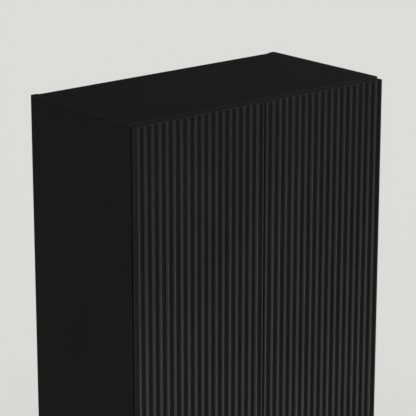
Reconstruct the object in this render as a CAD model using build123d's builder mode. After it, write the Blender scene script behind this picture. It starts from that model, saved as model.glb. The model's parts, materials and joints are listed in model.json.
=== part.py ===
from build123d import *
import os

# Hanging wall cabinet: a tall cupboard with two fluted doors that hooks over a steel wall rail.
# Frame: +X to the right, -Y out of the wall, +Z up. The origin is the middle of the wall rail's hole
# line, on the wall plane. Lengths are in millimetres.
# Left-hand pieces are built first and mirrored in the YZ plane for the right-hand side. Around a
# hinge, u is measured inwards from the outer face of the side panel and v outwards from the front
# edge of the carcass.

# Carcass
WIDTH = 700
HEIGHT = 1200
CARCASS_DEPTH = 347
BOARD = 18
TOP_Z = 55
REAR_INSET = 5
EDGE_ROUND = 0.8
CLEARANCE = 0.1
HOLE_END_GAP = 1
PILOT_RADIUS = 2.5
SMALL_PILOT_RADIUS = 1.8
BOTTOM_Z = TOP_Z - HEIGHT
HALF_WIDTH = WIDTH / 2
INNER_X = HALF_WIDTH - BOARD
FRONT_Y = -CARCASS_DEPTH
CEILING_Z = TOP_Z - BOARD
FLOOR_Z = BOTTOM_Z + BOARD

# Back panel and the groove that holds it
BACK_THICKNESS = 3
BACK_REAR_Y = -18
BACK_IN_GROOVE = 7
GROOVE_WIDTH = 3.2
GROOVE_DEPTH = 8
BACK_MIDDLE_Y = BACK_REAR_Y - BACK_THICKNESS / 2

# Shelves on pins in a 32 mm row of holes
SHELF_HEIGHTS = {"lower_shelf": 300, "middle_shelf": 560, "upper_shelf": 860}
SHELF_SIDE_GAP = 1.5
SHELF_FRONT_Y = -325
SHELF_REAR_Y = -23
PIN_COLUMNS_Y = (-60, -288)
PIN_RADIUS = 2.5
PIN_INSERTION = 8
PIN_REACH = 8
PIN_COLLAR_RADIUS = 4
PIN_COLLAR = 1.2
PIN_HOLE_DEPTH = 10
PIN_HOLE_RADIUS = 2.55
HOLE_PITCH = 32

# Cam joints and dowels between the sides and the top and bottom panels
CAM_Y = (-60, -300)
CAM_SETBACK = 34
CAM_RADIUS = 7.4
CAM_HOLE_RADIUS = 7.5
CAM_HOLE_DEPTH = 13
CAM_HEIGHT = 11.4
CAM_SLOT_HALF_LENGTH = 4
CAM_SLOT_HALF_WIDTH = 0.7
CAM_SLOT_DEPTH = 1.3
CAP_THICKNESS = 1.2
BOLT_RADIUS = 3
BOLT_HEAD_RADIUS = 3.5
BOLT_HEAD = 3
BOLT_IN_SIDE = 11
BOLT_BORE_RADIUS = 4
DOWEL_Y = (-92, -268)
DOWEL_RADIUS = 4
DOWEL_IN_SIDE = 10
DOWEL_IN_PANEL = 20
DOWEL_CHAMFER = 0.6

# Fluted doors
DOOR_THICKNESS = 16
DOOR_GAP = 2
SIDE_REVEAL = 1.5
CENTRE_GAP = 2
TOP_REVEAL = 4
BOTTOM_REVEAL = 2
BACK_EDGE_CHAMFER = 1.5
FLUTES = 18
FLUTE_PITCH = 19
FLUTE_WIDTH = 12.2
FLUTE_DEPTH = 3
ARRIS_ROUND = 2.8
DOOR_WIDTH = HALF_WIDTH - SIDE_REVEAL - CENTRE_GAP / 2
DOOR_TOP_Z = TOP_Z - TOP_REVEAL
DOOR_BOTTOM_Z = BOTTOM_Z + BOTTOM_REVEAL
DOOR_HEIGHT = DOOR_TOP_Z - DOOR_BOTTOM_Z
DOOR_BACK_Y = FRONT_Y - DOOR_GAP
DOOR_FRONT_Y = DOOR_BACK_Y - DOOR_THICKNESS

# Cup hinges, three to a door
HINGE_Z = (BOTTOM_Z + 102, BOTTOM_Z + 599, BOTTOM_Z + 1096)
PIVOT_U = 8.5
PIVOT_V = 10.6
HINGE_PIN_RADIUS = 1.0
HINGE_PIN_HALF_LENGTH = 9.2
EYE_RADIUS = 1.9
EYE_BORE_RADIUS = 1.05
CUP_U = 22
CUP_HOLE_RADIUS = 17.5
CUP_HOLE_DEPTH = 11.5
CUP_RADIUS = 17.4
CUP_INNER_RADIUS = 16.4
CUP_DEPTH = 11.4
CUP_FLOOR = 0.7
WING_THICKNESS = 1.2
WING_U = (12, 38)
WING_HALF_HEIGHT = 33
WING_CORNER = 5
CUP_SCREW_U = 31.5
CUP_SCREW_Z = 24
CUP_SCREW_DEPTH = 9
CUP_SCREW_RADIUS = 1.75
CUP_SCREW_HEAD = 3.3
LUG_WIDTH = 4.4
LUG_V = (8.6, 13)
LUG_Z = (5, 9.5)
LUG_CUP_GAP = 0.2
ARM_HALF_HEIGHT = 4.5
ARM_STRIP_V = (10, 12)
ARM_LEG_U = (20, 22)
ARM_BEND = 1.9
CHANNEL_U = (20.8, 30)
CHANNEL_V = (-62, -3)
CHANNEL_HALF_HEIGHT = 7
CHANNEL_WALL = 1.5
CHANNEL_FRONT = 2
PLATE_U = 20.2
PLATE_V = (-50, -24)
PLATE_HALF_HEIGHT = 24
PLATE_CORNER = 6
PLATE_BLOCK_U = 27.5
PLATE_BLOCK_V = (-60, -9)
PLATE_BLOCK_HALF_HEIGHT = 5
PLATE_SCREW_V = -37
PLATE_SCREW_Z = 16
PLATE_SCREW_DEPTH = 12
PLATE_SCREW_RADIUS = 2.45
PLATE_SCREW_HEAD = 4.2
ARM_SCREW_V = (-50, -20)
ARM_SCREW_RADIUS = 3
ARM_SCREW_HEAD_RADIUS = 3.9
ARM_SCREW_HEAD = 2.2
ARM_SCREW_LENGTH = 8
ARM_RECESS_SPAN = 5.2
ARM_RECESS_WIDTH = 1
ARM_RECESS_DEPTH = 1.2

# Wall rail and the two adjustable hangers that hook over it
RAIL_HALF_LENGTH = 328
RAIL_HOLES_X = (-280, -120, 120, 280)
RAIL_HOLE_RADIUS = 3.25
RAIL_THICKNESS = 2
RAIL_FOOT_Z = -12
RAIL_KNEE_Z = (8, 12)
RAIL_KNEE_SHIFT = 1
RAIL_LIP_Z = 22
RAIL_LIP_Y = -8
HANGER_X = (-INNER_X, -312)
HANGER_Y = (-81, -21.2)
HANGER_Z = (-6, 36)
HANGER_ROUND = 2
HANGER_SCREWS_Y = (-40, -66)
HANGER_SCREW_Z = 3
HANGER_SCREW_DEPTH = 12
HANGER_SCREW_RADIUS = 2.4
HANGER_SCREW_HEAD_RADIUS = 4
HANGER_SCREW_HEAD = 2.5
HANGER_SCREW_SINK = 0.3
HANGER_COUNTERBORE = 3
HOOK_X = (-328, -314)
HOOK_THICKNESS = 4
HOOK_FRONT_Y = -60
HOOK_TIP_Y = (-5.5, -2.5)
HOOK_TIP_Z = 13
HOOK_CHAMBER_FRONT_Y = -68
HOOK_SIDE_GAP = 0.5
HOOK_CHAMBER_GAP = 1
ADJUSTER_Z = (12, 24)
ADJUSTER_RADIUS = 3
ADJUSTER_LENGTH = 12
ADJUSTER_PROUD = 0.5
ADJUSTER_RECESS_SPAN = 4
ADJUSTER_RECESS_WIDTH = 0.8
ADJUSTER_RECESS_DEPTH = 1.5
BACK_SLOT_Z = (19, 29)

# Push-to-open latches under the top panel
LATCH_X = -25
LATCH_Z = 29
LATCH_Y = (-340, -262)
LATCH_LOW_Z = 22
LATCH_HALF_WIDTH = 10
LATCH_FOOT_HALF_WIDTH = 17
LATCH_ROUND = 3
LATCH_FOOT = 2.5
LATCH_FOOT_Y = (-318, -282)
LATCH_SCREW_OFFSET = 13.3
LATCH_SCREW_DEPTH = 10
LATCH_SCREW_RADIUS = 1.75
LATCH_SCREW_HEAD_RADIUS = 3.2
LATCH_SCREW_HEAD = 1.5
LATCH_RECESS_SPAN = 4
LATCH_RECESS_WIDTH = 0.8
LATCH_RECESS_DEPTH = 1
PLUNGER_RADIUS = 4
PLUNGER_BORE_RADIUS = 4.3
PLUNGER_TIP_Y = -347.7
PLUNGER_REAR_Y = -300
PLUNGER_CHAMFER = 0.6
PLUNGER_BORE_REAR_Y = -272
MAGNET_RADIUS = 2.8
MAGNET_LENGTH = 3
STRIKE_THICKNESS = 1
STRIKE_HALF_WIDTH = 13
STRIKE_Z = (20, 46)
STRIKE_CORNER = 3
STRIKE_SCREW_Z = 40

# Cross recess of a countersunk screw, as shares of its head
RECESS_SPAN = 1.1
RECESS_WIDTH = 0.28
RECESS_DEPTH = 0.8

os.makedirs("parts", exist_ok=True)

CENTRED_UP = (Align.CENTER, Align.CENTER, Align.MIN)


def block(low, high, mode=Mode.ADD):
    """A box in the current part between two opposite corners."""
    size = [b - a for a, b in zip(low, high)]
    middle = [(a + b) / 2 for a, b in zip(low, high)]
    with Locations(tuple(middle)):
        Box(*size, mode=mode)


def rod(start, direction, radius, length, mode=Mode.ADD):
    """A cylinder in the current part that runs from start along direction."""
    with Locations(Plane(origin=start, z_dir=direction)):
        Cylinder(radius, length, align=CENTRED_UP, mode=mode)


def hinge_block(u, v, z, mode=Mode.ADD):
    """A box given by its spans of u, v and z beside the left side panel."""
    block((u[0] - HALF_WIDTH, FRONT_Y - v[1], z[0]), (u[1] - HALF_WIDTH, FRONT_Y - v[0], z[1]), mode)


def hinge_point(u, v, z):
    """The place of u and v beside the left side panel."""
    return (u - HALF_WIDTH, FRONT_Y - v, z)


def taper(start, direction, wide_radius, narrow_radius, length, mode=Mode.ADD):
    """A cone in the current part that narrows from start along direction."""
    with Locations(Plane(origin=start, z_dir=direction)):
        Cone(wide_radius, narrow_radius, length, align=CENTRED_UP, mode=mode)


def cross_recess(start, direction, span, width, depth):
    """A cross-shaped recess cut into the current part at start, along direction."""
    with Locations(Plane(origin=start, z_dir=direction)):
        Box(span, width, depth, align=CENTRED_UP, mode=Mode.SUBTRACT)
        Box(width, span, depth, align=CENTRED_UP, mode=Mode.SUBTRACT)


def screw(start, direction, radius, length, head_radius, head):
    """A countersunk screw whose head's outer face is at start, running along direction."""
    taper(start, direction, head_radius, radius, head)
    rod(Vector(*start) + Vector(*direction) * head, direction, radius, length - head)
    cross_recess(
        start, direction, head_radius * RECESS_SPAN, head_radius * RECESS_WIDTH, head * RECESS_DEPTH
    )


def save(part, label):
    """Label a finished piece and write it."""
    part.label = label
    export_step(part, f"parts/{label}.step")


def save_pair(part, name):
    """Write a left-hand piece and its mirror image."""
    other = mirror(part, about=Plane.YZ)
    save(part, f"left_{name}")
    save(other, f"right_{name}")


def shelf_pin_heights():
    """The height of each shelf pin's axis: the shelves rest on the pins."""
    return [BOTTOM_Z + top - BOARD - PIN_RADIUS for top in SHELF_HEIGHTS.values()]


# The two side panels, full height, with every hole and groove on the inner face
with BuildPart() as left_side_panel:
    block((-HALF_WIDTH, FRONT_Y, BOTTOM_Z), (-INNER_X, 0, TOP_Z))
    outer_edges = left_side_panel.edges().group_by(Axis.X)[0]
    front_edge = left_side_panel.edges().filter_by(Axis.Z).group_by(Axis.Y)[0].sort_by(Axis.X)[-1]
    top_edge = left_side_panel.edges().filter_by(Axis.Y).group_by(Axis.Z)[-1].sort_by(Axis.X)[-1]
    fillet(outer_edges + [front_edge, top_edge], EDGE_ROUND)
    block(
        (-INNER_X - GROOVE_DEPTH, BACK_MIDDLE_Y - GROOVE_WIDTH / 2, FLOOR_Z - GROOVE_DEPTH),
        (-INNER_X, BACK_MIDDLE_Y + GROOVE_WIDTH / 2, CEILING_Z + GROOVE_DEPTH),
        Mode.SUBTRACT,
    )
    # On this plane the local x and y are the frame's y and z.
    with Locations(Plane(origin=(-INNER_X, 0, 0), x_dir=(0, 1, 0), z_dir=(1, 0, 0))):
        pin_holes = []
        for pin_z in shelf_pin_heights():
            for column in PIN_COLUMNS_Y:
                for step in (-1, 0, 1):
                    pin_holes.append((column, pin_z + step * HOLE_PITCH))
        with Locations(*pin_holes):
            Hole(PIN_HOLE_RADIUS, PIN_HOLE_DEPTH)
        plate_holes = []
        for hinge_z in HINGE_Z:
            for offset in (-PLATE_SCREW_Z, PLATE_SCREW_Z):
                plate_holes.append((FRONT_Y - PLATE_SCREW_V, hinge_z + offset))
        with Locations(*plate_holes):
            Hole(PILOT_RADIUS, PLATE_SCREW_DEPTH)
        with Locations(*[(y, HANGER_SCREW_Z) for y in HANGER_SCREWS_Y]):
            Hole(PILOT_RADIUS, HANGER_SCREW_DEPTH)
        for joint_z in (TOP_Z - BOARD / 2, BOTTOM_Z + BOARD / 2):
            with Locations(*[(y, joint_z) for y in CAM_Y]):
                Hole(BOLT_RADIUS + CLEARANCE, BOLT_IN_SIDE + HOLE_END_GAP)
            with Locations(*[(y, joint_z) for y in DOWEL_Y]):
                Hole(DOWEL_RADIUS + CLEARANCE, DOWEL_IN_SIDE + HOLE_END_GAP)
save_pair(left_side_panel.part, "side_panel")


def cross_panel(low_z, groove_low_z):
    """The top or bottom panel: set between the sides, drilled from below for its cams."""
    cam_x = INNER_X - CAM_SETBACK
    middle_z = low_z + BOARD / 2
    with BuildPart() as panel:
        block((-INNER_X, FRONT_Y, low_z), (INNER_X, -REAR_INSET, low_z + BOARD))
        fillet(panel.edges().filter_by(Axis.X), EDGE_ROUND)
        block(
            (-INNER_X, BACK_MIDDLE_Y - GROOVE_WIDTH / 2, groove_low_z),
            (INNER_X, BACK_MIDDLE_Y + GROOVE_WIDTH / 2, groove_low_z + GROOVE_DEPTH),
            Mode.SUBTRACT,
        )
        for side in (-1, 1):
            for y in CAM_Y:
                rod((side * cam_x, y, low_z), (0, 0, 1), CAM_HOLE_RADIUS, CAM_HOLE_DEPTH, Mode.SUBTRACT)
                rod(
                    (side * INNER_X, y, middle_z), (-side, 0, 0), BOLT_BORE_RADIUS, CAM_SETBACK,
                    Mode.SUBTRACT,
                )
            for y in DOWEL_Y:
                rod(
                    (side * INNER_X, y, middle_z), (-side, 0, 0), DOWEL_RADIUS + CLEARANCE,
                    DOWEL_IN_PANEL + HOLE_END_GAP, Mode.SUBTRACT,
                )
    return panel.part


def add_latch_holes(panel):
    """Drill the latch screws' pilot holes up into the top panel."""
    with BuildPart() as drilled:
        add(panel)
        for side in (-1, 1):
            for offset in (-LATCH_SCREW_OFFSET, LATCH_SCREW_OFFSET):
                start = (side * LATCH_X + offset, sum(LATCH_FOOT_Y) / 2, CEILING_Z)
                rod(start, (0, 0, 1), SMALL_PILOT_RADIUS, LATCH_SCREW_DEPTH, Mode.SUBTRACT)
    return drilled.part


save(add_latch_holes(cross_panel(CEILING_Z, CEILING_Z)), "top_panel")
save(cross_panel(BOTTOM_Z, FLOOR_Z - GROOVE_DEPTH), "bottom_panel")

# The back panel, held in the grooves, with a slot for each hanger's hook
with BuildPart() as back_panel:
    block(
        (-INNER_X - BACK_IN_GROOVE, BACK_REAR_Y - BACK_THICKNESS, FLOOR_Z - BACK_IN_GROOVE),
        (INNER_X + BACK_IN_GROOVE, BACK_REAR_Y, CEILING_Z + BACK_IN_GROOVE),
    )
    for side_x in (HANGER_X, (-HANGER_X[1], -HANGER_X[0])):
        block(
            (side_x[0], BACK_REAR_Y - BACK_THICKNESS, BACK_SLOT_Z[0]),
            (side_x[1], BACK_REAR_Y, BACK_SLOT_Z[1]),
            Mode.SUBTRACT,
        )
save(back_panel.part, "back_panel")

# The three shelves and the pins under them
for shelf_name, shelf_height in SHELF_HEIGHTS.items():
    with BuildPart() as shelf:
        shelf_x = INNER_X - SHELF_SIDE_GAP
        shelf_top = BOTTOM_Z + shelf_height
        block((-shelf_x, SHELF_FRONT_Y, shelf_top - BOARD), (shelf_x, SHELF_REAR_Y, shelf_top))
        fillet(shelf.edges().filter_by(Axis.X), EDGE_ROUND)
    save(shelf.part, shelf_name)

# Each pin's collar lies in the gap between the side panel and the shelf's end.
with BuildPart() as shelf_pins:
    for pin_z in shelf_pin_heights():
        for column in PIN_COLUMNS_Y:
            for side in (-1, 1):
                foot = (side * (INNER_X + PIN_INSERTION), column, pin_z)
                rod(foot, (-side, 0, 0), PIN_RADIUS, PIN_INSERTION + PIN_REACH)
                rod((side * INNER_X, column, pin_z), (-side, 0, 0), PIN_COLLAR_RADIUS, PIN_COLLAR)
save(shelf_pins.part, "shelf_pins")

# Cam joints: a bolt in the side, a cam in the panel and a cap over the cam
cam_places = []
for panel_z in (CEILING_Z, BOTTOM_Z):
    for side in (-1, 1):
        for y in CAM_Y:
            cam_places.append((side, y, panel_z))

with BuildPart() as cam_locks:
    for side, y, panel_z in cam_places:
        cam_x = side * (INNER_X - CAM_SETBACK)
        cam_low_z = panel_z + CAM_HOLE_DEPTH - CAM_HEIGHT - CLEARANCE
        rod((cam_x, y, cam_low_z), (0, 0, 1), CAM_RADIUS, CAM_HEIGHT)
        rod((cam_x, y, panel_z + BOARD / 2), (side, 0, 0), BOLT_BORE_RADIUS, CAM_RADIUS, Mode.SUBTRACT)
        block(
            (cam_x - CAM_SLOT_HALF_LENGTH, y - CAM_SLOT_HALF_WIDTH, cam_low_z),
            (cam_x + CAM_SLOT_HALF_LENGTH, y + CAM_SLOT_HALF_WIDTH, cam_low_z + CAM_SLOT_DEPTH),
            Mode.SUBTRACT,
        )
save(cam_locks.part, "cam_locks")

with BuildPart() as cam_bolts:
    for side, y, panel_z in cam_places:
        bolt_z = panel_z + BOARD / 2
        foot = (side * (INNER_X + BOLT_IN_SIDE), y, bolt_z)
        rod(foot, (-side, 0, 0), BOLT_RADIUS, BOLT_IN_SIDE + CAM_SETBACK - HOLE_END_GAP)
        head_x = side * (INNER_X - CAM_SETBACK + HOLE_END_GAP)
        rod((head_x, y, bolt_z), (side, 0, 0), BOLT_HEAD_RADIUS, BOLT_HEAD)
save(cam_bolts.part, "cam_bolts")

with BuildPart() as cam_caps:
    for side, y, panel_z in cam_places:
        rod((side * (INNER_X - CAM_SETBACK), y, panel_z), (0, 0, 1), CAM_RADIUS, CAP_THICKNESS)
save(cam_caps.part, "cam_caps")

with BuildPart() as wood_dowels:
    for joint_z in (TOP_Z - BOARD / 2, BOTTOM_Z + BOARD / 2):
        for side in (-1, 1):
            for y in DOWEL_Y:
                foot = (side * (INNER_X + DOWEL_IN_SIDE), y, joint_z)
                rod(foot, (-side, 0, 0), DOWEL_RADIUS, DOWEL_IN_SIDE + DOWEL_IN_PANEL)
    chamfer(wood_dowels.edges().filter_by(GeomType.CIRCLE), DOWEL_CHAMFER)
save(wood_dowels.part, "wood_dowels")

# Fluted door: the profile is cut in plan and extruded to the door's height
flute_radius = (FLUTE_WIDTH**2 / 4 + FLUTE_DEPTH**2) / (2 * FLUTE_DEPTH)
door_middle_x = -(CENTRE_GAP + DOOR_WIDTH) / 2
with BuildPart() as left_door:
    with BuildSketch(Plane.XY.offset(DOOR_BOTTOM_Z)) as door_profile:
        with Locations((door_middle_x, DOOR_BACK_Y - DOOR_THICKNESS / 2)):
            Rectangle(DOOR_WIDTH, DOOR_THICKNESS)
        with Locations((door_middle_x, DOOR_FRONT_Y + FLUTE_DEPTH - flute_radius)):
            with GridLocations(FLUTE_PITCH, 1, FLUTES, 1):
                Circle(flute_radius, mode=Mode.SUBTRACT)
        front_corners = door_profile.vertices().group_by(Axis.Y)[0]
        fillet(front_corners, ARRIS_ROUND)
        back_corner = door_profile.vertices().group_by(Axis.Y)[-1].sort_by(Axis.X)[0]
        chamfer(back_corner, BACK_EDGE_CHAMFER)
    extrude(amount=DOOR_HEIGHT)
    # On this plane the local x and y are the frame's x and -z.
    with Locations(Plane(origin=(0, DOOR_BACK_Y, 0), x_dir=(1, 0, 0), z_dir=(0, 1, 0))):
        with Locations(*[(CUP_U - HALF_WIDTH, -z) for z in HINGE_Z]):
            Hole(CUP_HOLE_RADIUS, CUP_HOLE_DEPTH)
        cup_screw_holes = []
        for hinge_z in HINGE_Z:
            for offset in (-CUP_SCREW_Z, CUP_SCREW_Z):
                cup_screw_holes.append((CUP_SCREW_U - HALF_WIDTH, -hinge_z + offset))
        with Locations(*cup_screw_holes, (LATCH_X, -STRIKE_SCREW_Z)):
            Hole(SMALL_PILOT_RADIUS, CUP_SCREW_DEPTH)
save_pair(left_door.part, "door")

# Cup hinge, the half in the door: cup, wing plate and the lugs that carry the pin
with BuildPart() as left_hinge_cups:
    for hinge_z in HINGE_Z:
        # On this plane the local x, y and z are the frame's x and z, and v.
        rim = Plane(origin=hinge_point(CUP_U, DOOR_GAP, hinge_z), x_dir=(1, 0, 0), z_dir=(0, -1, 0))
        with BuildSketch(rim):
            Circle(CUP_RADIUS)
        extrude(amount=CUP_DEPTH)
        with BuildSketch(rim.offset(-WING_THICKNESS)):
            with Locations((sum(WING_U) / 2 - CUP_U, 0)):
                RectangleRounded(WING_U[1] - WING_U[0], 2 * WING_HALF_HEIGHT, WING_CORNER)
        extrude(amount=WING_THICKNESS)
        with BuildSketch(rim.offset(-WING_THICKNESS)):
            Circle(CUP_INNER_RADIUS)
        extrude(amount=WING_THICKNESS + CUP_DEPTH - CUP_FLOOR, mode=Mode.SUBTRACT)
        with BuildSketch(rim.offset(LUG_V[0] - DOOR_GAP)):
            Circle(CUP_RADIUS - LUG_CUP_GAP)
            with Locations((PIVOT_U - CUP_U, 0)):
                Rectangle(LUG_WIDTH, 2 * LUG_Z[1], mode=Mode.INTERSECT)
                Rectangle(LUG_WIDTH, 2 * LUG_Z[0], mode=Mode.SUBTRACT)
        extrude(amount=LUG_V[1] - LUG_V[0])
        pin_start = hinge_point(PIVOT_U, PIVOT_V, hinge_z - HINGE_PIN_HALF_LENGTH)
        rod(pin_start, (0, 0, 1), HINGE_PIN_RADIUS, 2 * HINGE_PIN_HALF_LENGTH, Mode.SUBTRACT)
        for offset in (-CUP_SCREW_Z, CUP_SCREW_Z):
            start = hinge_point(CUP_SCREW_U, DOOR_GAP - WING_THICKNESS, hinge_z + offset)
            taper(start, (0, -1, 0), CUP_SCREW_HEAD, CUP_SCREW_RADIUS, WING_THICKNESS, Mode.SUBTRACT)
save_pair(left_hinge_cups.part, "hinge_cups")

with BuildPart() as left_hinge_pins:
    for hinge_z in HINGE_Z:
        pin_start = hinge_point(PIVOT_U, PIVOT_V, hinge_z - HINGE_PIN_HALF_LENGTH)
        rod(pin_start, (0, 0, 1), HINGE_PIN_RADIUS, 2 * HINGE_PIN_HALF_LENGTH)
save_pair(left_hinge_pins.part, "hinge_pins")

with BuildPart() as left_cup_screws:
    for hinge_z in HINGE_Z:
        for offset in (-CUP_SCREW_Z, CUP_SCREW_Z):
            start = hinge_point(CUP_SCREW_U, DOOR_GAP - WING_THICKNESS, hinge_z + offset)
            screw(start, (0, -1, 0), CUP_SCREW_RADIUS, CUP_SCREW_DEPTH, CUP_SCREW_HEAD, WING_THICKNESS)
save_pair(left_cup_screws.part, "cup_screws")

# Cup hinge, the half in the carcass: a gooseneck arm clipped over a mounting plate
with BuildPart() as left_hinge_arms:
    for hinge_z in HINGE_Z:
        # The gooseneck is drawn in the frame's x and y and is as wide as ARM_HALF_HEIGHT each way.
        with BuildSketch(Plane.XY.offset(hinge_z - ARM_HALF_HEIGHT)) as gooseneck:
            with BuildLine():
                Polyline(
                    hinge_point(PIVOT_U, ARM_STRIP_V[0], 0),
                    hinge_point(ARM_LEG_U[0], ARM_STRIP_V[0], 0),
                    hinge_point(ARM_LEG_U[0], CHANNEL_V[1] - CHANNEL_FRONT, 0),
                    hinge_point(ARM_LEG_U[1], CHANNEL_V[1] - CHANNEL_FRONT, 0),
                    hinge_point(ARM_LEG_U[1], ARM_STRIP_V[1], 0),
                    hinge_point(PIVOT_U, ARM_STRIP_V[1], 0),
                    close=True,
                )
            make_face()
            outer_corner = hinge_point(ARM_LEG_U[1], ARM_STRIP_V[1], hinge_z - ARM_HALF_HEIGHT)
            fillet(gooseneck.vertices().sort_by_distance(outer_corner)[0], ARM_BEND)
            with Locations(hinge_point(PIVOT_U, PIVOT_V, 0)[:2]):
                Circle(EYE_RADIUS)
                Circle(EYE_BORE_RADIUS, mode=Mode.SUBTRACT)
        extrude(amount=2 * ARM_HALF_HEIGHT)
        channel_z = (hinge_z - CHANNEL_HALF_HEIGHT, hinge_z + CHANNEL_HALF_HEIGHT)
        front_v = (CHANNEL_V[1] - CHANNEL_FRONT, CHANNEL_V[1])
        hinge_block((ARM_LEG_U[0], CHANNEL_U[1]), front_v, channel_z)
        hinge_block(CHANNEL_U, CHANNEL_V, channel_z)
        inside_z = (channel_z[0] + CHANNEL_WALL, channel_z[1] - CHANNEL_WALL)
        inside_u = (CHANNEL_U[0], CHANNEL_U[1] - CHANNEL_WALL)
        hinge_block(inside_u, (CHANNEL_V[0], front_v[0]), inside_z, Mode.SUBTRACT)
        for v in ARM_SCREW_V:
            start = hinge_point(CHANNEL_U[1], v, hinge_z)
            rod(start, (-1, 0, 0), ARM_SCREW_RADIUS + CLEARANCE, CHANNEL_WALL, Mode.SUBTRACT)
save_pair(left_hinge_arms.part, "hinge_arms")

with BuildPart() as left_hinge_plates:
    for hinge_z in HINGE_Z:
        wing = Plane(origin=hinge_point(BOARD, PLATE_SCREW_V, hinge_z), x_dir=(0, 1, 0), z_dir=(1, 0, 0))
        with BuildSketch(wing):
            RectangleRounded(PLATE_V[1] - PLATE_V[0], 2 * PLATE_HALF_HEIGHT, PLATE_CORNER)
        extrude(amount=PLATE_U - BOARD)
        block_z = (hinge_z - PLATE_BLOCK_HALF_HEIGHT, hinge_z + PLATE_BLOCK_HALF_HEIGHT)
        hinge_block((BOARD, PLATE_BLOCK_U), PLATE_BLOCK_V, block_z)
        for v in ARM_SCREW_V:
            start = hinge_point(PLATE_BLOCK_U, v, hinge_z)
            rod(start, (-1, 0, 0), ARM_SCREW_RADIUS, ARM_SCREW_LENGTH, Mode.SUBTRACT)
        for offset in (-PLATE_SCREW_Z, PLATE_SCREW_Z):
            start = hinge_point(PLATE_U, PLATE_SCREW_V, hinge_z + offset)
            taper(
                start, (-1, 0, 0), PLATE_SCREW_HEAD, PLATE_SCREW_RADIUS, PLATE_U - BOARD, Mode.SUBTRACT
            )
save_pair(left_hinge_plates.part, "hinge_plates")

with BuildPart() as hinge_plate_screws:
    for hinge_z in HINGE_Z:
        for offset in (-PLATE_SCREW_Z, PLATE_SCREW_Z):
            start = hinge_point(PLATE_U, PLATE_SCREW_V, hinge_z + offset)
            screw(
                start, (-1, 0, 0), PLATE_SCREW_RADIUS, PLATE_SCREW_DEPTH, PLATE_SCREW_HEAD,
                PLATE_U - BOARD,
            )
    mirror(about=Plane.YZ)
save(hinge_plate_screws.part, "hinge_plate_screws")

with BuildPart() as hinge_arm_screws:
    for hinge_z in HINGE_Z:
        for v in ARM_SCREW_V:
            head_start = hinge_point(CHANNEL_U[1] + ARM_SCREW_HEAD, v, hinge_z)
            rod(head_start, (-1, 0, 0), ARM_SCREW_HEAD_RADIUS, ARM_SCREW_HEAD)
            rod(head_start, (-1, 0, 0), ARM_SCREW_RADIUS, ARM_SCREW_HEAD + ARM_SCREW_LENGTH)
            cross_recess(head_start, (-1, 0, 0), ARM_RECESS_SPAN, ARM_RECESS_WIDTH, ARM_RECESS_DEPTH)
    mirror(about=Plane.YZ)
save(hinge_arm_screws.part, "hinge_arm_screws")

# The steel rail on the wall: a flat foot with screw holes and a lip that stands off the wall
with BuildPart() as wall_rail:
    # On this plane the local x and y are the frame's y and z.
    with BuildSketch(Plane(origin=(-RAIL_HALF_LENGTH, 0, 0), x_dir=(0, 1, 0), z_dir=(1, 0, 0))):
        with BuildLine():
            Polyline(
                (0, RAIL_FOOT_Z),
                (0, RAIL_KNEE_Z[0]),
                (RAIL_LIP_Y + RAIL_THICKNESS, RAIL_KNEE_Z[1]),
                (RAIL_LIP_Y + RAIL_THICKNESS, RAIL_LIP_Z),
                (RAIL_LIP_Y, RAIL_LIP_Z),
                (RAIL_LIP_Y, RAIL_KNEE_Z[1] - RAIL_KNEE_SHIFT),
                (-RAIL_THICKNESS, RAIL_KNEE_Z[0] - RAIL_KNEE_SHIFT),
                (-RAIL_THICKNESS, RAIL_FOOT_Z),
                close=True,
            )
        make_face()
    extrude(amount=2 * RAIL_HALF_LENGTH)
    for x in RAIL_HOLES_X:
        rod((x, 0, 0), (0, -1, 0), RAIL_HOLE_RADIUS, RAIL_THICKNESS, Mode.SUBTRACT)
save(wall_rail.part, "wall_rail")

# Hangers in the top rear corners: a housing screwed to the side, a hook and its adjusting screws
hanger_middle_x = sum(HOOK_X) / 2
with BuildPart() as left_hanger_housing:
    block((HANGER_X[0], HANGER_Y[0], HANGER_Z[0]), (HANGER_X[1], HANGER_Y[1], HANGER_Z[1]))
    fillet(left_hanger_housing.faces().sort_by(Axis.X)[-1].edges(), HANGER_ROUND)
    block(
        (HOOK_X[0] - HOOK_SIDE_GAP, HOOK_CHAMBER_FRONT_Y, BACK_SLOT_Z[0] - HOOK_CHAMBER_GAP),
        (HOOK_X[1] + HOOK_SIDE_GAP, HANGER_Y[1], BACK_SLOT_Z[1] + HOOK_CHAMBER_GAP),
        Mode.SUBTRACT,
    )
    for z in ADJUSTER_Z:
        start = (hanger_middle_x, HANGER_Y[0], z)
        rod(start, (0, 1, 0), ADJUSTER_RADIUS + CLEARANCE, ADJUSTER_LENGTH, Mode.SUBTRACT)
    for y in HANGER_SCREWS_Y:
        start = (HANGER_X[1], y, HANGER_SCREW_Z)
        bore_length = HANGER_X[1] - HANGER_X[0]
        counterbore_radius = HANGER_SCREW_HEAD_RADIUS + CLEARANCE
        rod(start, (-1, 0, 0), HANGER_SCREW_RADIUS + CLEARANCE, bore_length, Mode.SUBTRACT)
        rod(start, (-1, 0, 0), counterbore_radius, HANGER_COUNTERBORE, Mode.SUBTRACT)
save_pair(left_hanger_housing.part, "hanger_housing")

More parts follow.
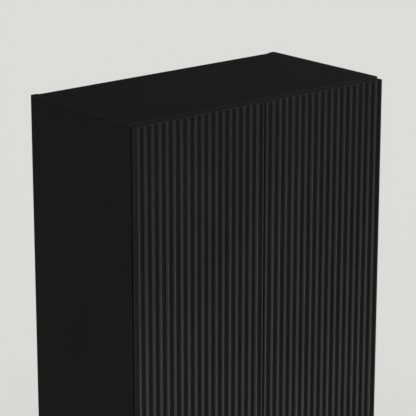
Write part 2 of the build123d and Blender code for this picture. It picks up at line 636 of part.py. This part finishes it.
with BuildPart() as left_hanger_hook:
    # The hook's side view is drawn in the frame's y and z.
    with BuildSketch(Plane(origin=(HOOK_X[0], 0, 0), x_dir=(0, 1, 0), z_dir=(1, 0, 0))):
        with BuildLine():
            Polyline(
                (HOOK_FRONT_Y, RAIL_LIP_Z),
                (HOOK_TIP_Y[0], RAIL_LIP_Z),
                (HOOK_TIP_Y[0], HOOK_TIP_Z),
                (HOOK_TIP_Y[1], HOOK_TIP_Z),
                (HOOK_TIP_Y[1], RAIL_LIP_Z + HOOK_THICKNESS),
                (HOOK_FRONT_Y, RAIL_LIP_Z + HOOK_THICKNESS),
                close=True,
            )
        make_face()
    extrude(amount=HOOK_X[1] - HOOK_X[0])
save_pair(left_hanger_hook.part, "hanger_hook")

with BuildPart() as hanger_adjusting_screws:
    for z in ADJUSTER_Z:
        start = (hanger_middle_x, HANGER_Y[0] - ADJUSTER_PROUD, z)
        rod(start, (0, 1, 0), ADJUSTER_RADIUS, ADJUSTER_LENGTH)
        cross_recess(
            start, (0, 1, 0), ADJUSTER_RECESS_SPAN, ADJUSTER_RECESS_WIDTH, ADJUSTER_RECESS_DEPTH
        )
    mirror(about=Plane.YZ)
save(hanger_adjusting_screws.part, "hanger_adjusting_screws")

with BuildPart() as hanger_fixing_screws:
    for y in HANGER_SCREWS_Y:
        start = (HANGER_X[1] - HANGER_SCREW_SINK, y, HANGER_SCREW_Z)
        length = HANGER_X[1] - HANGER_X[0] + HANGER_SCREW_DEPTH - HOLE_END_GAP
        screw(
            start, (-1, 0, 0), HANGER_SCREW_RADIUS, length, HANGER_SCREW_HEAD_RADIUS, HANGER_SCREW_HEAD
        )
    mirror(about=Plane.YZ)
save(hanger_fixing_screws.part, "hanger_fixing_screws")

# Push-to-open latches: a housing under the top panel, a sprung plunger with a magnet in its tip,
# and a steel strike plate on the door's back
latch_middle_y = sum(LATCH_FOOT_Y) / 2
with BuildPart() as left_latch_housing:
    block(
        (LATCH_X - LATCH_HALF_WIDTH, LATCH_Y[0], LATCH_LOW_Z),
        (LATCH_X + LATCH_HALF_WIDTH, LATCH_Y[1], CEILING_Z),
    )
    fillet(left_latch_housing.edges().filter_by(Axis.Y).group_by(Axis.Z)[0], LATCH_ROUND)
    block(
        (LATCH_X - LATCH_FOOT_HALF_WIDTH, LATCH_FOOT_Y[0], CEILING_Z - LATCH_FOOT),
        (LATCH_X + LATCH_FOOT_HALF_WIDTH, LATCH_FOOT_Y[1], CEILING_Z),
    )
    bore = PLUNGER_BORE_REAR_Y - LATCH_Y[0]
    rod((LATCH_X, LATCH_Y[0], LATCH_Z), (0, 1, 0), PLUNGER_BORE_RADIUS, bore, Mode.SUBTRACT)
    for offset in (-LATCH_SCREW_OFFSET, LATCH_SCREW_OFFSET):
        start = (LATCH_X + offset, latch_middle_y, CEILING_Z - LATCH_FOOT)
        rod(start, (0, 0, 1), LATCH_SCREW_RADIUS + CLEARANCE, LATCH_FOOT, Mode.SUBTRACT)
save_pair(left_latch_housing.part, "latch_housing")

with BuildPart() as latch_screws:
    for offset in (-LATCH_SCREW_OFFSET, LATCH_SCREW_OFFSET):
        start = (LATCH_X + offset, latch_middle_y, CEILING_Z - LATCH_FOOT - LATCH_SCREW_HEAD)
        rod(start, (0, 0, 1), LATCH_SCREW_HEAD_RADIUS, LATCH_SCREW_HEAD)
        rod(start, (0, 0, 1), LATCH_SCREW_RADIUS, LATCH_FOOT + LATCH_SCREW_DEPTH)
        cross_recess(start, (0, 0, 1), LATCH_RECESS_SPAN, LATCH_RECESS_WIDTH, LATCH_RECESS_DEPTH)
    mirror(about=Plane.YZ)
save(latch_screws.part, "latch_screws")

with BuildPart() as left_latch_plunger:
    rod((LATCH_X, PLUNGER_TIP_Y, LATCH_Z), (0, 1, 0), PLUNGER_RADIUS, PLUNGER_REAR_Y - PLUNGER_TIP_Y)
    chamfer(left_latch_plunger.edges().filter_by(GeomType.CIRCLE), PLUNGER_CHAMFER)
    rod((LATCH_X, PLUNGER_TIP_Y, LATCH_Z), (0, 1, 0), MAGNET_RADIUS, MAGNET_LENGTH, Mode.SUBTRACT)
save_pair(left_latch_plunger.part, "latch_plunger")

with BuildPart() as left_latch_magnet:
    rod((LATCH_X, PLUNGER_TIP_Y, LATCH_Z), (0, 1, 0), MAGNET_RADIUS, MAGNET_LENGTH)
save_pair(left_latch_magnet.part, "latch_magnet")

with BuildPart() as left_strike_plate:
    # On this plane the local x and y are the frame's -x and z.
    strike_middle = (LATCH_X, DOOR_BACK_Y, sum(STRIKE_Z) / 2)
    with BuildSketch(Plane(origin=strike_middle, x_dir=(-1, 0, 0), z_dir=(0, 1, 0))):
        RectangleRounded(2 * STRIKE_HALF_WIDTH, STRIKE_Z[1] - STRIKE_Z[0], STRIKE_CORNER)
    extrude(amount=STRIKE_THICKNESS)
    strike_face = (LATCH_X, DOOR_BACK_Y + STRIKE_THICKNESS, STRIKE_SCREW_Z)
    taper(strike_face, (0, -1, 0), CUP_SCREW_HEAD, CUP_SCREW_RADIUS, STRIKE_THICKNESS, Mode.SUBTRACT)
save_pair(left_strike_plate.part, "strike_plate")

with BuildPart() as left_strike_screw:
    screw(strike_face, (0, -1, 0), CUP_SCREW_RADIUS, CUP_SCREW_DEPTH, CUP_SCREW_HEAD, STRIKE_THICKNESS)
save_pair(left_strike_screw.part, "strike_screw")
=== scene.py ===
"""Looks for the hanging wall cabinet: materials for every CAD node, a pale floor, soft light, a camera."""
import json
import math

import bpy
from mathutils import Euler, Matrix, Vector


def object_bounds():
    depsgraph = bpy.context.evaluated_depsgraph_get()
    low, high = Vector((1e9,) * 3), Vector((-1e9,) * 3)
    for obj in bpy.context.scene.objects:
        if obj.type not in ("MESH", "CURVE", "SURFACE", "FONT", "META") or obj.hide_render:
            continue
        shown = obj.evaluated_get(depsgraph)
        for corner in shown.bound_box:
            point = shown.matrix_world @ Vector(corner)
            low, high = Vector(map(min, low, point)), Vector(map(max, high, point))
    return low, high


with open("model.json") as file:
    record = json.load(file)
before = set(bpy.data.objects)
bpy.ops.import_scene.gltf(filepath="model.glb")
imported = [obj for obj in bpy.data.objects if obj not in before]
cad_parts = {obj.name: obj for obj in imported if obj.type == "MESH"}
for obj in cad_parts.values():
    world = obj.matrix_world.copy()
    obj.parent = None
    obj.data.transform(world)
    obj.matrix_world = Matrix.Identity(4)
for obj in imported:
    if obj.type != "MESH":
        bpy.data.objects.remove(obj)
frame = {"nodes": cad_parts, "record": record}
cad_low, cad_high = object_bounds()

# Lengths are metres in the frame's axes, angles are degrees, and the lens and sensor are millimetres
CAMERA_PLACE = (-2.846, -3.577, 1.065)
CAMERA_YAW = 39.92
CAMERA_PITCH = 16.21
CAMERA_LENS = 179.4
SENSOR_WIDTH = 36.0

FLOOR_RADIUS = 40.0
FLOOR_SIDES = 96
FLOOR_DROP = 0.0005
FLOOR_COLOUR = (0.90, 0.89, 0.875)
FLOOR_ROUGHNESS = 0.9
FLOOR_SPECULAR = 0.1

WORLD_COLOUR = (0.98, 0.99, 1.0)
WORLD_STRENGTH = 0.65

KEY_PLACE = (5.87, -1.61, 0.50)
KEY_TARGET = (0.0, -0.36, -0.80)
KEY_WIDTH = 3.4
KEY_HEIGHT = 0.5
KEY_POWER = 98.0
KEY_SPREAD = 22.0

# Painted highlight along the edges of the boards, a paler colour standing in for the light that rounded
# edges catch:
# the band's width, and how alike the face's own normal and the rounded one are where the band starts and
# where it is full
HIGHLIGHT_BAND_WIDTH = 0.004
HIGHLIGHT_SAMPLES = 4
HIGHLIGHT_START = 0.995
HIGHLIGHT_FULL = 0.90

# Even in all directions, for texture coordinates
EVEN = (1.0, 1.0, 1.0)


def new_material(name):
    """A material with only a Principled shader; returns it with its node tree and that shader."""
    material = bpy.data.materials.new(name)
    material.use_nodes = True
    tree = material.node_tree
    shader = tree.nodes["Principled BSDF"]
    return material, tree, shader


def object_coordinates(tree, scale=EVEN):
    """Object coordinates in metres, stretched by scale: they ride with the piece."""
    source = tree.nodes.new("ShaderNodeTexCoord")
    mapping = tree.nodes.new("ShaderNodeMapping")
    mapping.inputs["Scale"].default_value = scale
    tree.links.new(source.outputs["Object"], mapping.inputs["Vector"])
    return mapping.outputs["Vector"]


def noise(tree, vector, scale, detail=3.0, roughness=0.5):
    """A noise texture's value output."""
    node = tree.nodes.new("ShaderNodeTexNoise")
    node.inputs["Scale"].default_value = scale
    node.inputs["Detail"].default_value = detail
    node.inputs["Roughness"].default_value = roughness
    tree.links.new(vector, node.inputs["Vector"])
    return node.outputs["Fac"]


def remap(tree, value, low, high, from_low=0.3, from_high=0.7):
    """value, clamped, mapped from one range to another."""
    node = tree.nodes.new("ShaderNodeMapRange")
    node.inputs["From Min"].default_value = from_low
    node.inputs["From Max"].default_value = from_high
    node.inputs["To Min"].default_value = low
    node.inputs["To Max"].default_value = high
    tree.links.new(value, node.inputs["Value"])
    return node.outputs["Result"]


def colour_ramp(tree, value, stops):
    """value mapped through (position, colour) stops."""
    node = tree.nodes.new("ShaderNodeValToRGB")
    ramp = node.color_ramp
    while len(ramp.elements) < len(stops):
        ramp.elements.new(0.5)
    for element, (position, colour) in zip(ramp.elements, stops):
        element.position = position
        element.color = (*colour, 1.0)
    tree.links.new(value, node.inputs["Fac"])
    return node.outputs["Color"]


def bump(tree, shader, height, depth):
    """Surface relief of that real depth, in metres, on the shader's normal."""
    node = tree.nodes.new("ShaderNodeBump")
    node.inputs["Strength"].default_value = 1.0
    node.inputs["Distance"].default_value = depth
    tree.links.new(height, node.inputs["Height"])
    tree.links.new(node.outputs["Normal"], shader.inputs["Normal"])


def painted_highlight_mask(tree):
    """1 beside a sharp or tightly rounded edge, and 0 on open faces: where a highlight is painted."""
    bevel = tree.nodes.new("ShaderNodeBevel")
    bevel.samples = HIGHLIGHT_SAMPLES
    bevel.inputs["Radius"].default_value = HIGHLIGHT_BAND_WIDTH
    geometry = tree.nodes.new("ShaderNodeNewGeometry")
    likeness = tree.nodes.new("ShaderNodeVectorMath")
    likeness.operation = "DOT_PRODUCT"
    tree.links.new(bevel.outputs["Normal"], likeness.inputs[0])
    tree.links.new(geometry.outputs["True Normal"], likeness.inputs[1])
    return remap(tree, likeness.outputs["Value"], 0.0, 1.0, HIGHLIGHT_START, HIGHLIGHT_FULL)


def blend_colours(tree, amount, first, second):
    """first where amount is 0 and the plain colour second where it is 1."""
    node = tree.nodes.new("ShaderNodeMix")
    node.data_type = "RGBA"
    tree.links.new(amount, node.inputs["Factor"])
    tree.links.new(first, node.inputs["A"])
    node.inputs["B"].default_value = (*second, 1.0)
    return node.outputs["Result"]


def dark_board(name, dark, light, roughness, specular, grain_scale, grain_depth, stretch=EVEN, painted_highlight_colour=None):
    """Black board surface: tone drifts slowly, gloss varies finely, and the grain is pressed in.

    With a highlight colour, the edges are painted paler, a painted highlight standing in for the light
    that rounded edges catch.
    """
    material, tree, shader = new_material(name)
    place = object_coordinates(tree)
    drift = noise(tree, place, scale=2.3, detail=4.0)
    tone = colour_ramp(tree, drift, [(0.35, dark), (0.65, light)])
    # Painted highlight: the edges are blended towards a paler colour
    if painted_highlight_colour:
        tone = blend_colours(tree, painted_highlight_mask(tree), tone, painted_highlight_colour)
    tree.links.new(tone, shader.inputs["Base Color"])
    grain_place = object_coordinates(tree, stretch)
    grain = noise(tree, grain_place, grain_scale, detail=2.0, roughness=0.6)
    gloss = noise(tree, grain_place, grain_scale / 9, detail=3.0)
    tree.links.new(remap(tree, gloss, *roughness), shader.inputs["Roughness"])
    bump(tree, shader, grain, grain_depth)
    shader.inputs["Specular IOR Level"].default_value = specular
    return material


def carcass_laminate():
    """Melamine board with a fine pearl grain, and a painted highlight along its edges."""
    return dark_board(
        "carcass_laminate",
        dark=(0.0090, 0.0090, 0.0090),
        light=(0.0107, 0.0107, 0.0107),
        roughness=(0.55, 0.66),
        specular=0.0012,
        grain_scale=900.0,
        grain_depth=0.00005,
        # Painted highlight: the paler colour painted along the edges
        painted_highlight_colour=(0.0185, 0.0185, 0.0185),
    )


def door_foil():
    """Satin foil wrapped over the flutes, with a faint grain along them."""
    return dark_board(
        "door_foil",
        dark=(0.0113, 0.0113, 0.0113),
        light=(0.0133, 0.0133, 0.0133),
        roughness=(0.42, 0.50),
        specular=0.006,
        grain_scale=700.0,
        grain_depth=0.00003,
        stretch=(1.0, 1.0, 0.06),
    )


def back_board():
    """Thin fibreboard, rougher than the laminate."""
    return dark_board(
        "back_board",
        dark=(0.010, 0.010, 0.0105),
        light=(0.018, 0.0175, 0.017),
        roughness=(0.55, 0.75),
        specular=0.3,
        grain_scale=420.0,
        grain_depth=0.00008,
    )


def raw_wood():
    """Bare beech dowels, grain along X."""
    material, tree, shader = new_material("raw_wood")
    place = object_coordinates(tree, scale=(0.08, 1.0, 1.0))
    grain = noise(tree, place, scale=900.0, detail=4.0)
    tree.links.new(
        colour_ramp(tree, grain, [(0.3, (0.38, 0.24, 0.12)), (0.7, (0.62, 0.45, 0.27))]),
        shader.inputs["Base Color"],
    )
    shader.inputs["Roughness"].default_value = 0.7
    bump(tree, shader, grain, depth=0.0001)
    return material


def moulded_plastic(name, dark, light):
    """Spark-eroded plastic: fine even pits."""
    material, tree, shader = new_material(name)
    place = object_coordinates(tree)
    tone = noise(tree, place, scale=60.0, detail=2.0)
    tree.links.new(colour_ramp(tree, tone, [(0.3, dark), (0.7, light)]), shader.inputs["Base Color"])
    pits = noise(tree, place, scale=2600.0, detail=1.0)
    tree.links.new(remap(tree, pits, low=0.42, high=0.58), shader.inputs["Roughness"])
    bump(tree, shader, pits, depth=0.00003)
    return material


def plated_metal(name, dark, light, roughness, brush=EVEN):
    """Plated steel, cast zinc or a magnet: cloudy tone, and gloss that varies along the brushing."""
    material, tree, shader = new_material(name)
    shader.inputs["Metallic"].default_value = 0.8
    place = object_coordinates(tree, brush)
    streaks = noise(tree, place, scale=420.0, detail=2.0)
    clouds = noise(tree, object_coordinates(tree), scale=45.0, detail=3.0)
    tree.links.new(colour_ramp(tree, clouds, [(0.3, dark), (0.7, light)]), shader.inputs["Base Color"])
    tree.links.new(remap(tree, streaks, *roughness), shader.inputs["Roughness"])
    bump(tree, shader, streaks, depth=0.000003)
    return material


def slot_materials():
    """One material for each of the record's material slots."""
    return {
        "carcass_laminate": carcass_laminate(),
        "door_foil": door_foil(),
        "back_board": back_board(),
        "raw_wood": raw_wood(),
        "black_plastic": moulded_plastic("black_plastic", (0.012, 0.012, 0.013), (0.02, 0.02, 0.021)),
        "grey_plastic": moulded_plastic("grey_plastic", (0.09, 0.09, 0.092), (0.13, 0.13, 0.132)),
        "nickel_steel": plated_metal(
            "nickel_steel", (0.56, 0.54, 0.5), (0.68, 0.66, 0.62), (0.28, 0.38), brush=(1.0, 0.2, 1.0)
        ),
        "zinc_steel": plated_metal("zinc_steel", (0.52, 0.54, 0.56), (0.66, 0.67, 0.68), (0.32, 0.45)),
        "die_cast_zinc": plated_metal("die_cast_zinc", (0.4, 0.4, 0.41), (0.5, 0.5, 0.5), (0.4, 0.6)),
        "magnet": plated_metal("magnet", (0.45, 0.44, 0.43), (0.52, 0.51, 0.5), (0.2, 0.3)),
    }


def dress_nodes():
    """Give each CAD node the material of the record's slot."""
    materials = slot_materials()
    for entry in frame["record"]["subparts"]:
        piece = frame["nodes"][entry["node"]]
        piece.data.materials.clear()
        piece.data.materials.append(materials[entry["material_slot"]])


def make_floor():
    """A plain pale floor under the cabinet, wide enough to fill the view."""
    bpy.ops.mesh.primitive_circle_add(
        vertices=FLOOR_SIDES,
        radius=FLOOR_RADIUS,
        fill_type="NGON",
        location=(0.0, 0.0, cad_low.z - FLOOR_DROP),
    )
    floor = bpy.context.object
    floor.name = "floor"
    material, tree, shader = new_material("floor")
    shader.inputs["Base Color"].default_value = (*FLOOR_COLOUR, 1.0)
    shader.inputs["Roughness"].default_value = FLOOR_ROUGHNESS
    shader.inputs["Specular IOR Level"].default_value = FLOOR_SPECULAR
    floor.data.materials.append(material)
    return floor


def aim(thing, direction):
    """Turn a light so that it shines along direction."""
    thing.rotation_mode = "QUATERNION"
    thing.rotation_quaternion = direction.to_track_quat("-Z", "Y")


def soft_sun(name, azimuth, elevation, power, spread):
    """A distant soft light; azimuth 0 is in front and 90 to the right, and all angles are degrees."""
    turn, rise = math.radians(azimuth), math.radians(elevation)
    away = Vector(
        (math.sin(turn) * math.cos(rise), -math.cos(turn) * math.cos(rise), math.sin(rise))
    )
    data = bpy.data.lights.new(name, "SUN")
    data.energy = power
    data.angle = math.radians(spread)
    light = bpy.data.objects.new(name, data)
    aim(light, -away)
    bpy.context.scene.collection.objects.link(light)


def key_panel(floor):
    """A wide soft panel whose grid keeps its light in a narrow beam, and which leaves the floor unlit."""
    data = bpy.data.lights.new("key", "AREA")
    data.shape = "RECTANGLE"
    data.size = KEY_WIDTH
    data.size_y = KEY_HEIGHT
    data.energy = KEY_POWER
    data.spread = math.radians(KEY_SPREAD)
    light = bpy.data.objects.new("key", data)
    light.location = KEY_PLACE
    aim(light, Vector(KEY_TARGET) - Vector(KEY_PLACE))
    light.visible_camera = False
    bpy.context.scene.collection.objects.link(light)
    unlit = bpy.data.collections.new("key_unlit")
    unlit.objects.link(floor)
    unlit.collection_objects[0].light_linking.link_state = "EXCLUDE"
    light.light_linking.receiver_collection = unlit


def make_lights(floor):
    """A wide key from the right, two low suns, left and front right, and an even pale surround."""
    key_panel(floor)
    soft_sun("fill", azimuth=-108.0, elevation=3.0, power=1.7, spread=30.0)
    soft_sun("front", azimuth=46.0, elevation=6.0, power=2.4, spread=50.0)
    world = bpy.data.worlds.new("studio")
    world.use_nodes = True
    background = world.node_tree.nodes["Background"]
    background.inputs["Color"].default_value = (*WORLD_COLOUR, 1.0)
    background.inputs["Strength"].default_value = WORLD_STRENGTH
    bpy.context.scene.world = world


def make_camera():
    """A long lens that looks down on the top left corner from the front left."""
    data = bpy.data.cameras.new("camera")
    data.sensor_width = SENSOR_WIDTH
    data.lens = CAMERA_LENS
    camera = bpy.data.objects.new("camera", data)
    camera.location = CAMERA_PLACE
    tilt = math.radians(90.0 - CAMERA_PITCH)
    camera.rotation_euler = Euler((tilt, 0.0, -math.radians(CAMERA_YAW)))
    bpy.context.scene.collection.objects.link(camera)
    bpy.context.scene.camera = camera


dress_nodes()
make_lights(make_floor())
make_camera()
bpy.context.scene.view_settings.view_transform = "Standard"
